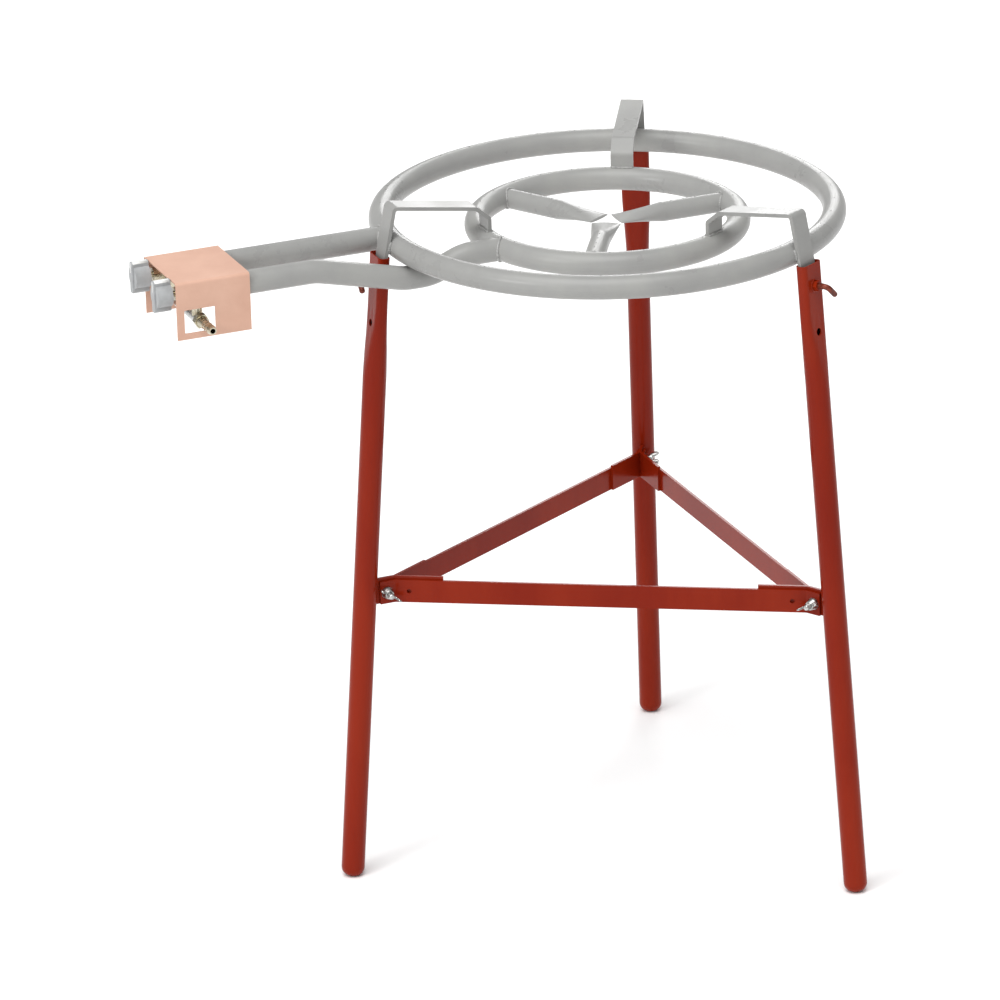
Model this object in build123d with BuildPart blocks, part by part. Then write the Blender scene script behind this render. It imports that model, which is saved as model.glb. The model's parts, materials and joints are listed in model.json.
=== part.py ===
"""Two-ring gas burner on a three-leg tripod stand.

Millimetres, +Z up.  The origin is on the floor, on the common axis of the two burner rings.
The gas taps are on the -X side.  "near" is the tap side, and "left" and "right" are the far
legs as seen from the taps.
"""

from build123d import *

import os
from math import atan, cos, radians, sin, sqrt

os.makedirs("parts", exist_ok=True)

# ---------------------------------------------------------------- driving dimensions

# burner rings
TUBE_R = 12.5                      # burner, feed pipe and leg tubes are all 25 mm
TUBE_WALL = 1.5
OUTER_RING_D = 500.0               # over the tube
INNER_RING_D = 300.0
OUTER_RING_Z = 700.0               # tube centre above the floor
INNER_RING_Z = 690.0
OUTER_RING_R = OUTER_RING_D / 2 - TUBE_R
INNER_RING_R = INNER_RING_D / 2 - TUBE_R
PORT_R = 0.8                       # flame ports along the crown of each tube
OUTER_PORTS = 36
INNER_PORTS = 24

# fingers: short tubes from the inner ring towards the centre, pinched shut at the tip
FINGER_AZIMUTHS = {"far": 0.0, "left": 120.0, "right": 240.0}
FINGER_R = 10.5
FINGER_ROOT_R = INNER_RING_R - TUBE_R / 4
FINGER_TIP_RADIUS = 11.0           # tip distance from the burner axis
FINGER_FLARE_START = 62.0
FINGER_TIP_W = 31.0
FINGER_TIP_T = 3.2
FINGER_PORTS = 4
FINGER_PORT_PITCH = 14.0

# sides of the tripod
SIDES = {"near": 180.0, "left": 60.0, "right": 300.0}

# legs: their axis leans outwards from the mouth to the foot
FOOT_R = 311.0                     # leg axis distance from the burner axis at the floor
MOUTH_Z = 692.0                    # height of the open top of the leg
FOOT_FILLET = 9.0
FOOT_WEAR = 0.6                    # depth of the flat the foot stands on
MOUTH_W = 31.0                     # flattened section, across the leg
MOUTH_T = 13.0                     # flattened section, along the radius
MOUTH_CORNER = 5.0
FLAT_LENGTH = 54.0                 # flattened length below the mouth
TAPER_LENGTH = 84.0                # from the flattened section down to the round tube
TAPER_STATIONS = 4
SPARE_HOLE_DROP = 73.0             # spare hole below the mouth
SPARE_HOLE_R = 4.0

# pan supports: flat bars from the inner ring, over the outer ring and down into the legs
STRAP_W = 24.0
STRAP_T = 4.0
STRAP_SLOPE = 12.0                 # degrees from upright, outside the outer ring
STRAP_SEAT = 0.3                   # depth of the weld seat in the strap
STRAP_CORNER_Z = 743.5
STRAP_FOOT_Z = 640.0
STRAP_KNEE = (152.5, 729.5)        # radius and height of the inner bend
STRAP_ANKLE_Z = 717.0
STRAP_BEND_R = 4.0
STRAP_TO_LEG_AXIS = 2.4            # strap centre inside the leg axis

# clamp screws
SCREW_R = 3.0
SCREW_HOLE_R = 3.4
SCREW_DROP = 23.0                  # below the mouth, along the leg
SCREW_REACH = 22.5                 # leg axis to the centre of the lever
SCREW_LEVER = 18.0
SCREW_BEND_R = 5.0
SCREW_END_FILLET = 2.4
SCREW_TIP_GAP = 0.3                # screw tip to pan support
SCREW_LEVER_ANGLE = 45.0           # from straight down, at rest
CLAMP_NUT_AF = 10.0
CLAMP_NUT_T = 5.0

# braces and their brackets
BRACE_Z = 318.0
BRACE_CORNER_R = 258.0             # where the centre lines of two braces cross
BRACE_H = 25.0
BRACE_T = 3.0
BRACE_END_R = 270.0
BRACE_BEND_R = 4.0
BRACE_SPARE_HOLE_R = 2.5
BRACE_SPARE_HOLE_AT = 21.0         # from the crossing point, along the brace
BRACKET_T = 3.0
BRACKET_BELOW = 12.5
BRACKET_ABOVE = 16.0
BRACKET_WING = 52.0

# brace bolts, washers and wing nuts
BOLT_R = 3.0
BOLT_AT_R = 262.5
BOLT_HEAD_AF = 10.0
BOLT_HEAD_T = 4.0
BOLT_LENGTH = 24.0
BOLT_HOLE_R = 3.1
BOLT_CHAMFER = 0.8
NUT_SIDE = {"near": 1, "left": -1, "right": -1}    # which way round the axis each nut sits
WASHER_R = 6.5
WASHER_T = 1.2
NUT_GAP = 0.3
NUT_HUB_R = 5.5
NUT_HUB_H = 7.0
NUT_HUB_TAPER = 8.0                # degrees
NUT_WING_ROOT = 1.5                # underside of the wings above the seat
NUT_WING_SHOULDER = 6.0            # height where a wing reaches its full span
NUT_WING_R = 14.0
NUT_WING_H = 13.0
NUT_WING_T = 2.2
NUT_TILT = {"near": 145.0, "left": 215.0, "right": 205.0}   # wing line, from straight out

# feed pipes, one each side of the tap side leg
PIPE_Y = 33.0
PIPE_Z = 698.0
PIPE_END_X = -450.0
PIPE_BEND_R = 60.0
AIR_PORT_L = 16.0
AIR_PORT_W = 11.0
AIR_PORT_X = PIPE_END_X + 15.0

# manifold cover, a folded sheet open at both ends and below
COVER_X0 = -497.0
COVER_X1 = -417.0
COVER_HALF_W = 48.0
COVER_TOP_Z = 713.5
COVER_BOTTOM_Z = 652.0
SHEET_T = 1.5
FOLD_R = 2.5
WINDOW_X = (-489.0, -455.5)
WINDOW_Z = (658.5, 683.5)
END_PLATE_X = -421.0
END_PLATE_BOTTOM_Z = 672.0

# taps, seen from the pipe end towards the knob
CAP_T = 3.0
INJECTOR_R = 5.0
INJECTOR_SHANK_L = 8.0
INJECTOR_NOSE_L = 9.0
INJECTOR_JET_R = 0.6
TAP_HEX_AF = 19.0
TAP_HEX_L = 10.0
TAP_BARREL_R = 10.0
TAP_BARREL_L = 21.0
TAP_BONNET_R = 7.0
TAP_BONNET_L = 10.0
STEM_R = 3.0
STEM_CLEARANCE = 0.05
STEM_INSIDE = 20.0                 # stem length inside the tap
STEM_END_GAP = 1.0
KNOB_FACE_X = -517.0
KNOB_BACK_X = -498.5
KNOB_R = 12.0
KNOB_SKIN = 3.0                    # knob material in front of the stem
KNOB_GRIP_PROUD = 2.0
KNOB_GRIP_CORNER = 3.0
KNOB_EDGE_R = 1.0
KNOB_GRIP_W = 7.5
KNOB_GRIP_H = 34.0
BOSS_R = 5.5

# gas rail and hose nozzle
RAIL_X = -470.0
RAIL_Z = 668.5
RAIL_R = 6.0
RAIL_BORE_R = 4.5
RAIL_FRONT_Y = -40.0
RAIL_REAR_Y = 42.0
PLUG_T = 3.5
NOZZLE_HEX_AF = 14.0
NOZZLE_HEX_L = 7.0
NOZZLE_COLLAR_R = 6.3              # tapering collar between the hexagon and the barbs
NOZZLE_COLLAR_L = 8.0
NOZZLE_BARBS = 3
NOZZLE_BARB_L = 8.0                # each
NOZZLE_BARB_RISE = 1.0
NOZZLE_BARB_LAND = 2.0             # full-size stretch of each barb
NOZZLE_ROOT_R = 4.0
NOZZLE_BARB_R = 5.0
NOZZLE_BORE_R = 2.7

# ---------------------------------------------------------------- derived geometry

STRAP_TILT = radians(STRAP_SLOPE)
STRAP_STANDOFF = TUBE_R + STRAP_T / 2 - STRAP_SEAT


def strap_outer_r(height):
    """Radius of the strap's centre line where it passes outside the outer ring."""
    rise = height - OUTER_RING_Z
    return OUTER_RING_R + (STRAP_STANDOFF - rise * sin(STRAP_TILT)) / cos(STRAP_TILT)


MOUTH_R = strap_outer_r(MOUTH_Z) + STRAP_TO_LEG_AXIS
LEAN = atan((FOOT_R - MOUTH_R) / MOUTH_Z)
FOOT_DROOP = FOOT_FILLET * (1 - cos(LEAN)) + (TUBE_R - FOOT_FILLET) * sin(LEAN)
FOOT_LIFT = FOOT_DROOP - FOOT_WEAR
LEG_LENGTH = (MOUTH_Z - FOOT_LIFT) / cos(LEAN)
TAP_Z = PIPE_Z
STACK_HALF = BRACKET_T / 2 + BRACE_T
CORNER_HALF = radians(30)          # half the angle between two braces
SPAN_HALF = radians(60)            # half the turn round the axis from leg to leg


def direction(azimuth):
    """Unit vector away from the burner axis."""
    return Vector(cos(radians(azimuth)), sin(radians(azimuth)), 0)


def radial_plane(azimuth):
    """Upright plane through the burner axis: local x is the radius, local y the height."""
    return Plane(origin=(0, 0, 0), x_dir=direction(azimuth), z_dir=direction(azimuth - 90))


def plan_plane(azimuth, height):
    """Level plane: local x is the radius, local y points round the axis."""
    return Plane(origin=(0, 0, height), x_dir=direction(azimuth), z_dir=(0, 0, 1))


def leg_plane(azimuth, along=0.0):
    """Plane square to a leg: local y faces away from the burner axis."""
    out = direction(azimuth)
    axis = Vector(0, 0, cos(LEAN)) - out * sin(LEAN)
    foot = out * (FOOT_R - FOOT_LIFT * sin(LEAN) / cos(LEAN)) + Vector(0, 0, FOOT_LIFT)
    return Plane(origin=foot + axis * along, x_dir=direction(azimuth - 90), z_dir=axis)


def screw_plane(azimuth):
    """Plane of a clamp screw: local x is the screw axis, local y its lever at rest."""
    across = leg_plane(azimuth, LEG_LENGTH - SCREW_DROP)
    turn = radians(SCREW_LEVER_ANGLE)
    lever = across.x_dir * -sin(turn) - across.z_dir * cos(turn)
    return Plane(origin=across.origin, x_dir=across.y_dir, z_dir=across.y_dir.cross(lever))


def screw_face_plane(azimuth, out, drop=SCREW_DROP):
    """Plane square to a clamp screw, a given distance out from the leg axis."""
    across = leg_plane(azimuth, LEG_LENGTH - drop)
    return Plane(
        origin=across.origin + across.y_dir * out, x_dir=across.x_dir, z_dir=across.y_dir
    )


def bolt_plane(side, out=0.0):
    """Plane square to a brace bolt, facing its wing nut."""
    azimuth = SIDES[side]
    around = direction(azimuth + 90 * NUT_SIDE[side])
    middle = direction(azimuth) * BOLT_AT_R + Vector(0, 0, BRACE_Z)
    return Plane(origin=middle + around * out, x_dir=direction(azimuth), z_dir=around)


def tap_plane(y, x):
    """Plane square to a tap at x, facing away from the knob."""
    return Plane(origin=(x, y, TAP_Z), x_dir=(0, 1, 0), z_dir=(1, 0, 0))


# solid cores, used to cope the ends of the tubes and bars that are welded to them
outer_ring_core = Pos(0, 0, OUTER_RING_Z) * Torus(OUTER_RING_R, TUBE_R)
inner_ring_core = Pos(0, 0, INNER_RING_Z) * Torus(INNER_RING_R, TUBE_R)
rail_middle = Plane(origin=(RAIL_X, 0, RAIL_Z), z_dir=(0, 1, 0))
rail_core = rail_middle * Cylinder(RAIL_R, 4 * COVER_HALF_W)
leg_cores = {}
for side, azimuth in SIDES.items():
    leg_cores[side] = leg_plane(azimuth, LEG_LENGTH / 2) * Cylinder(TUBE_R, LEG_LENGTH / 2)


def finish(part, name):
    """Label a finished piece and write it."""
    part.label = name
    export_step(part, f"parts/{name}.step")


# ---------------------------------------------------------------- burner rings

with BuildPart() as outer_burner_ring:
    with Locations((0, 0, OUTER_RING_Z)):
        Torus(OUTER_RING_R, TUBE_R)
        Torus(OUTER_RING_R, TUBE_R - TUBE_WALL, mode=Mode.SUBTRACT)
    with BuildSketch(Plane.XY.offset(OUTER_RING_Z + TUBE_R + 1)):
        with PolarLocations(OUTER_RING_R, OUTER_PORTS, start_angle=180 / OUTER_PORTS):
            Circle(PORT_R)
    extrude(amount=-TUBE_R, mode=Mode.SUBTRACT)
outer_burner_ring.part.label = "outer_burner_ring"
export_step(outer_burner_ring.part, "parts/outer_burner_ring.step")

with BuildPart() as inner_burner_ring:
    with Locations((0, 0, INNER_RING_Z)):
        Torus(INNER_RING_R, TUBE_R)
        Torus(INNER_RING_R, TUBE_R - TUBE_WALL, mode=Mode.SUBTRACT)
    with BuildSketch(Plane.XY.offset(INNER_RING_Z + TUBE_R + 1)):
        with PolarLocations(INNER_RING_R, INNER_PORTS, start_angle=180 / INNER_PORTS):
            Circle(PORT_R)
    extrude(amount=-TUBE_R, mode=Mode.SUBTRACT)
inner_burner_ring.part.label = "inner_burner_ring"
export_step(inner_burner_ring.part, "parts/inner_burner_ring.step")


def make_finger(name, azimuth):
    """Tube stub of the inner ring, pinched flat at its tip."""
    out = direction(azimuth)
    level = Vector(0, 0, INNER_RING_Z)

    def square_plane(radius):
        return Plane(origin=out * radius + level, x_dir=direction(azimuth + 90), z_dir=out * -1)

    with BuildPart() as finger:
        with BuildSketch(square_plane(FINGER_ROOT_R)):
            Circle(FINGER_R)
        extrude(amount=FINGER_ROOT_R - FINGER_FLARE_START)
        with BuildSketch(square_plane(FINGER_FLARE_START)):
            Circle(FINGER_R)
        with BuildSketch(square_plane(FINGER_TIP_RADIUS)):
            Ellipse(FINGER_TIP_W / 2, FINGER_TIP_T / 2)
        loft()
        with BuildSketch(square_plane(FINGER_ROOT_R)):
            Circle(FINGER_R - TUBE_WALL)
        extrude(amount=FINGER_ROOT_R - FINGER_FLARE_START, mode=Mode.SUBTRACT)
        add(inner_ring_core, mode=Mode.SUBTRACT)
        middle = (FINGER_FLARE_START + INNER_RING_R - TUBE_R) / 2
        with BuildSketch(plan_plane(azimuth, INNER_RING_Z + FINGER_R + 1)):
            with Locations((middle, 0)):
                with GridLocations(FINGER_PORT_PITCH, 1, FINGER_PORTS, 1):
                    Circle(PORT_R)
        extrude(amount=-FINGER_R, mode=Mode.SUBTRACT)
    finish(finger.part, name)


for place, azimuth in FINGER_AZIMUTHS.items():
    make_finger(f"burner_finger_{place}", azimuth)

# ---------------------------------------------------------------- pan supports


def make_pan_support(name, azimuth):
    """Bent flat bar: stands on the inner ring, crosses to the outer ring, drops into a leg."""
    knee_r, knee_z = STRAP_KNEE
    corner_r = strap_outer_r(STRAP_CORNER_Z)
    socket_r = strap_outer_r(MOUTH_Z)
    foot_r = socket_r + (MOUTH_Z - STRAP_FOOT_Z) * sin(LEAN) / cos(LEAN)
    with BuildPart() as pan_support:
        with BuildSketch(radial_plane(azimuth)):
            with BuildLine():
                FilletPolyline(
                    (INNER_RING_R, INNER_RING_Z + TUBE_R / 2),
                    (INNER_RING_R, STRAP_ANKLE_Z),
                    (knee_r, knee_z),
                    (corner_r, STRAP_CORNER_Z),
                    (socket_r, MOUTH_Z),
                    (foot_r, STRAP_FOOT_Z),
                    radius=STRAP_BEND_R,
                )
            trace(line_width=STRAP_T)
        extrude(amount=STRAP_W / 2, both=True)
        add(outer_ring_core, mode=Mode.SUBTRACT)
        add(inner_ring_core, mode=Mode.SUBTRACT)
    finish(pan_support.part, name)


for side, azimuth in SIDES.items():
    make_pan_support(f"pan_support_{side}", azimuth)

# ---------------------------------------------------------------- legs


def leg_section(azimuth, along, flatness, inset):
    """One cross-section of a leg: round at flatness 0, fully flattened at 1."""
    width = 2 * TUBE_R + (MOUTH_W - 2 * TUBE_R) * flatness - 2 * inset
    depth = 2 * TUBE_R + (MOUTH_T - 2 * TUBE_R) * flatness - 2 * inset
    corner = TUBE_R + (MOUTH_CORNER - TUBE_R) * flatness - inset
    with BuildSketch(leg_plane(azimuth, along)) as section:
        if flatness == 0:
            Circle(TUBE_R - inset)
        else:
            RectangleRounded(width, depth, min(corner, depth * 0.49))
    return section.sketch


def leg_taper(azimuth, inset):
    """Sections of the length where the round tube turns into the flattened mouth."""
    start = LEG_LENGTH - FLAT_LENGTH - TAPER_LENGTH
    sections = []
    for station in range(TAPER_STATIONS + 1):
        part_way = station / TAPER_STATIONS
        flatness = part_way * part_way * (3 - 2 * part_way)
        sections.append(leg_section(azimuth, start + TAPER_LENGTH * part_way, flatness, inset))
    return sections


def make_leg(name, azimuth):
    """Closed at the foot, flattened into a socket at the top."""
    taper_start = LEG_LENGTH - FLAT_LENGTH - TAPER_LENGTH
    flat_start = LEG_LENGTH - FLAT_LENGTH
    foot = leg_plane(azimuth)
    with BuildPart() as leg:
        extrude(leg_section(azimuth, 0, 0, 0), amount=taper_start)
        rims = leg.edges().filter_by(GeomType.CIRCLE).sort_by(Axis(foot.origin, foot.z_dir))
        fillet(rims[0], radius=FOOT_FILLET)
        loft(leg_taper(azimuth, 0))
        extrude(leg_section(azimuth, flat_start, 1, 0), amount=FLAT_LENGTH)
        bore_length = taper_start - FOOT_FILLET
        bore = leg_section(azimuth, FOOT_FILLET, 0, TUBE_WALL)
        extrude(bore, amount=bore_length, mode=Mode.SUBTRACT)
        loft(leg_taper(azimuth, TUBE_WALL), mode=Mode.SUBTRACT)
        socket = leg_section(azimuth, flat_start, 1, TUBE_WALL)
        extrude(socket, amount=FLAT_LENGTH, mode=Mode.SUBTRACT)
        with BuildSketch(screw_face_plane(azimuth, 0)):
            Circle(SCREW_HOLE_R)
        extrude(amount=2 * TUBE_R, mode=Mode.SUBTRACT)
        with BuildSketch(screw_face_plane(azimuth, 0, SPARE_HOLE_DROP)):
            Circle(SPARE_HOLE_R)
        extrude(amount=2 * TUBE_R, mode=Mode.SUBTRACT)
        with BuildSketch(plan_plane(azimuth, 0)):
            with Locations((FOOT_R, 0)):
                Circle(2 * TUBE_R)
        extrude(amount=-TUBE_R, mode=Mode.SUBTRACT)
    finish(leg.part, name)


def make_clamp_nut(name, azimuth):
    """Nut welded over the screw hole of a leg."""
    with BuildPart() as clamp_nut:
        with BuildSketch(screw_face_plane(azimuth, MOUTH_T / 2)):
            RegularPolygon(CLAMP_NUT_AF / 2, 6, major_radius=False)
            Circle(SCREW_R + STEM_CLEARANCE, mode=Mode.SUBTRACT)
        extrude(amount=CLAMP_NUT_T)
    finish(clamp_nut.part, name)


def make_clamp_screw(name, azimuth):
    """Screw that presses the pan support into its leg, with its tail bent into a lever."""
    tip = -STRAP_TO_LEG_AXIS + STRAP_T / 2 + SCREW_TIP_GAP
    plane = screw_plane(azimuth)
    with BuildPart() as clamp_screw:
        with BuildLine(plane):
            FilletPolyline(
                (tip, 0), (SCREW_REACH, 0), (SCREW_REACH, SCREW_LEVER), radius=SCREW_BEND_R
            )
        with BuildSketch(screw_face_plane(azimuth, tip)):
            Circle(SCREW_R)
        sweep()
        ends = clamp_screw.edges().filter_by(GeomType.CIRCLE)
        lever_end = ends.sort_by(Axis(plane.origin, plane.y_dir))[-1]
        fillet(lever_end, radius=SCREW_END_FILLET)
    finish(clamp_screw.part, name)


for side, azimuth in SIDES.items():
    make_leg(f"leg_{side}", azimuth)
    make_clamp_nut(f"clamp_nut_{side}", azimuth)
    make_clamp_screw(f"clamp_screw_{side}", azimuth)

# ---------------------------------------------------------------- braces


def make_leg_bracket(name, side):
    """Tab welded to a leg, with two wings that lie along the inside of the braces."""
    azimuth = SIDES[side]
    fork_r = BRACE_CORNER_R - 2 * BRACE_T
    with BuildPart() as leg_bracket:
        with BuildSketch(plan_plane(azimuth, BRACE_Z - BRACKET_BELOW)):
            with Locations((fork_r, 0)):
                Rectangle(FOOT_R - fork_r, BRACKET_T, align=(Align.MIN, Align.CENTER))
                for turn in (150, 210):
                    Rectangle(
                        BRACKET_WING, BRACKET_T, rotation=turn, align=(Align.MIN, Align.CENTER)
                    )
        extrude(amount=BRACKET_BELOW + BRACKET_ABOVE)
        add(leg_cores[side], mode=Mode.SUBTRACT)
        inner = leg_bracket.solids().sort_by(Axis((0, 0, 0), tuple(direction(azimuth))))[0]
        add(inner, mode=Mode.REPLACE)
        with BuildSketch(bolt_plane(side, -BRACKET_T)):
            Circle(BOLT_HOLE_R)
        extrude(amount=2 * BRACKET_T, mode=Mode.SUBTRACT)
    finish(leg_bracket.part, name)


def make_brace(name, side_a, side_b):
    """Flat bar on edge between two legs; each end is bent to lie along a bracket tab."""
    offset = BRACKET_T / 2 + BRACE_T / 2
    bend_r = BRACE_CORNER_R - offset / sin(CORNER_HALF) * cos(CORNER_HALF)
    centre = (SIDES[side_a] + SIDES[side_b]) / 2
    if abs(SIDES[side_a] - SIDES[side_b]) > 180:
        centre += 180
    plane = plan_plane(centre, BRACE_Z - BRACE_H / 2)
    end_x = BRACE_END_R * cos(SPAN_HALF) + offset * sin(SPAN_HALF)
    end_y = BRACE_END_R * sin(SPAN_HALF) - offset * cos(SPAN_HALF)
    bend_x = bend_r * cos(SPAN_HALF) + offset * sin(SPAN_HALF)
    bend_y = bend_r * sin(SPAN_HALF) - offset * cos(SPAN_HALF)
    spare_y = BRACE_CORNER_R * sin(SPAN_HALF) - BRACE_SPARE_HOLE_AT
    with BuildPart() as brace:
        with BuildSketch(plane):
            with BuildLine():
                FilletPolyline(
                    (end_x, end_y),
                    (bend_x, bend_y),
                    (bend_x, -bend_y),
                    (end_x, -end_y),
                    radius=BRACE_BEND_R,
                )
            trace(line_width=BRACE_T)
        extrude(amount=BRACE_H)
        for side in (side_a, side_b):
            with BuildSketch(bolt_plane(side, -3 * BRACE_T)):
                Circle(BOLT_HOLE_R)
        extrude(amount=6 * BRACE_T, mode=Mode.SUBTRACT)
        across = Plane(
            origin=direction(centre) * (bend_x - BRACE_T) + Vector(0, 0, BRACE_Z),
            x_dir=direction(centre + 90),
            z_dir=direction(centre),
        )
        with BuildSketch(across):
            with Locations((spare_y, 0), (-spare_y, 0)):
                Circle(BRACE_SPARE_HOLE_R)
        extrude(amount=2 * BRACE_T, mode=Mode.SUBTRACT)
    finish(brace.part, name)


def make_brace_bolt(name, side):
    """Hexagon bolt through one brace end, the bracket tab and the other brace end."""
    with BuildPart() as brace_bolt:
        with BuildSketch(bolt_plane(side, -STACK_HALF - BOLT_HEAD_T)):
            RegularPolygon(BOLT_HEAD_AF / 2, 6, major_radius=False)
        extrude(amount=BOLT_HEAD_T)
        with BuildSketch(bolt_plane(side, -STACK_HALF)):
            Circle(BOLT_R)
        extrude(amount=BOLT_LENGTH)
        tip = brace_bolt.edges().filter_by(GeomType.CIRCLE)
        around = bolt_plane(side).z_dir
        chamfer(tip.sort_by(Axis((0, 0, 0), tuple(around)))[-1], length=BOLT_CHAMFER)
    finish(brace_bolt.part, name)


def make_washer(name, side):
    """Plain washer under a wing nut."""
    with BuildPart() as washer:
        with BuildSketch(bolt_plane(side, STACK_HALF)):
            Circle(WASHER_R)
            Circle(BOLT_HOLE_R, mode=Mode.SUBTRACT)
        extrude(amount=WASHER_T)
    finish(washer.part, name)


def make_wing_nut(name, side):
    """Tapered hub with two upswept wings."""
    seat = bolt_plane(side, STACK_HALF + WASHER_T + NUT_GAP)
    tilt = radians(NUT_TILT[side])
    wing_line = seat.x_dir * cos(tilt) + seat.y_dir * sin(tilt)
    blade = Plane(origin=seat.origin, x_dir=wing_line, z_dir=wing_line.cross(seat.z_dir))
    with BuildPart() as wing_nut:
        with BuildSketch(seat):
            Circle(NUT_HUB_R)
        extrude(amount=NUT_HUB_H, taper=NUT_HUB_TAPER)
        with BuildSketch(blade):
            for hand in (1, -1):
                with BuildLine():
                    Polyline(
                        (hand * BOLT_R / 2, NUT_WING_ROOT),
                        (hand * NUT_HUB_R, NUT_WING_ROOT),
                        (hand * (NUT_WING_R - NUT_WING_T), NUT_WING_SHOULDER),
                        (hand * NUT_WING_R, (NUT_WING_SHOULDER + NUT_WING_H) / 2),
                        (hand * (NUT_WING_R - NUT_WING_T / 2), NUT_WING_H),
                        (hand * (NUT_WING_R - 2 * NUT_WING_T), NUT_WING_H),
                        (hand * (NUT_HUB_R - NUT_WING_T / 2), NUT_HUB_H),
                        (hand * BOLT_R / 2, NUT_HUB_H),
                        close=True,
                    )
                make_face()
        extrude(amount=NUT_WING_T / 2, both=True)
        with BuildSketch(seat):
            Circle(BOLT_R + STEM_CLEARANCE)
        extrude(amount=NUT_WING_H + 1, mode=Mode.SUBTRACT)
    finish(wing_nut.part, name)


for side in SIDES:
    make_leg_bracket(f"leg_bracket_{side}", side)
    make_brace_bolt(f"brace_bolt_{side}", side)
    make_washer(f"brace_washer_{side}", side)
    make_wing_nut(f"wing_nut_{side}", side)

make_brace("brace_near_left", "near", "left")
make_brace("brace_near_right", "near", "right")
make_brace("brace_left_right", "left", "right")

# ---------------------------------------------------------------- feed pipes

with BuildPart() as outer_feed_pipe:
    with BuildSketch(Plane.YZ.offset(PIPE_END_X)):
        with Locations((PIPE_Y, PIPE_Z)):
            Circle(TUBE_R)
            Circle(TUBE_R - TUBE_WALL, mode=Mode.SUBTRACT)
    extrude(amount=-PIPE_END_X - sqrt(OUTER_RING_R**2 - PIPE_Y**2) - TUBE_R / 3)
    with Locations((AIR_PORT_X, PIPE_Y, PIPE_Z)):
        Box(AIR_PORT_L, 3 * TUBE_R, AIR_PORT_W, mode=Mode.SUBTRACT)
    add(outer_ring_core, mode=Mode.SUBTRACT)
outer_feed_pipe.part.label = "outer_feed_pipe"
export_step(outer_feed_pipe.part, "parts/outer_feed_pipe.step")

# this pipe dips under the outer ring and climbs again to the inner ring
DIP_GAP = 0.6
DIP_Z = OUTER_RING_Z - 2 * TUBE_R - DIP_GAP
DIP_X = (-242.0, -213.0)
DIP_START_X = -340.0
CLIMB_END_X = -176.0
INNER_JOIN_X = -sqrt(INNER_RING_R**2 - PIPE_Y**2)

with BuildPart() as inner_feed_pipe:
    with BuildLine(Plane.XZ.offset(PIPE_Y)):
        FilletPolyline(
            (PIPE_END_X, PIPE_Z),
            (DIP_START_X, PIPE_Z),
            (DIP_X[0], DIP_Z),
            (DIP_X[1], DIP_Z),
            (CLIMB_END_X, INNER_RING_Z),
            (INNER_JOIN_X, INNER_RING_Z),
            radius=PIPE_BEND_R,
        )
    with BuildSketch(Plane.YZ.offset(PIPE_END_X)):
        with Locations((-PIPE_Y, PIPE_Z)):
            Circle(TUBE_R)
            Circle(TUBE_R - TUBE_WALL, mode=Mode.SUBTRACT)
    sweep()
    with Locations((AIR_PORT_X, -PIPE_Y, PIPE_Z)):
        Box(AIR_PORT_L, 3 * TUBE_R, AIR_PORT_W, mode=Mode.SUBTRACT)
    add(inner_ring_core, mode=Mode.SUBTRACT)
inner_feed_pipe.part.label = "inner_feed_pipe"
export_step(inner_feed_pipe.part, "parts/inner_feed_pipe.step")

# ---------------------------------------------------------------- manifold cover

with BuildPart() as manifold_cover:
    with BuildSketch(Plane.YZ.offset(COVER_X0)):
        with BuildLine():
            FilletPolyline(
                (-COVER_HALF_W + SHEET_T / 2, COVER_BOTTOM_Z),
                (-COVER_HALF_W + SHEET_T / 2, COVER_TOP_Z - SHEET_T / 2),
                (COVER_HALF_W - SHEET_T / 2, COVER_TOP_Z - SHEET_T / 2),
                (COVER_HALF_W - SHEET_T / 2, COVER_BOTTOM_Z),
                radius=FOLD_R,
            )
        trace(line_width=SHEET_T)
    extrude(amount=COVER_X1 - COVER_X0)
    with BuildSketch(Plane.XZ.offset(COVER_HALF_W + SHEET_T)):
        with Locations((sum(WINDOW_X) / 2, sum(WINDOW_Z) / 2)):
            RectangleRounded(WINDOW_X[1] - WINDOW_X[0], WINDOW_Z[1] - WINDOW_Z[0], SHEET_T)
    extrude(amount=-4 * SHEET_T, mode=Mode.SUBTRACT)
manifold_cover.part.label = "manifold_cover"
export_step(manifold_cover.part, "parts/manifold_cover.step")

with BuildPart() as cover_end_plate:
    inside_w = 2 * (COVER_HALF_W - SHEET_T)
    inside_top = COVER_TOP_Z - SHEET_T
    with BuildSketch(Plane.YZ.offset(END_PLATE_X)):
        with Locations((0, (inside_top + END_PLATE_BOTTOM_Z) / 2)):
            Rectangle(inside_w, inside_top - END_PLATE_BOTTOM_Z)
        with Locations((-PIPE_Y, PIPE_Z), (PIPE_Y, PIPE_Z)):
            Circle(TUBE_R, mode=Mode.SUBTRACT)
    extrude(amount=SHEET_T)
    upright = cover_end_plate.edges().filter_by(Axis.X).group_by(Axis.Z)[-1]
    fillet(upright, radius=FOLD_R)
cover_end_plate.part.label = "cover_end_plate"
export_step(cover_end_plate.part, "parts/cover_end_plate.step")

# ---------------------------------------------------------------- taps


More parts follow.
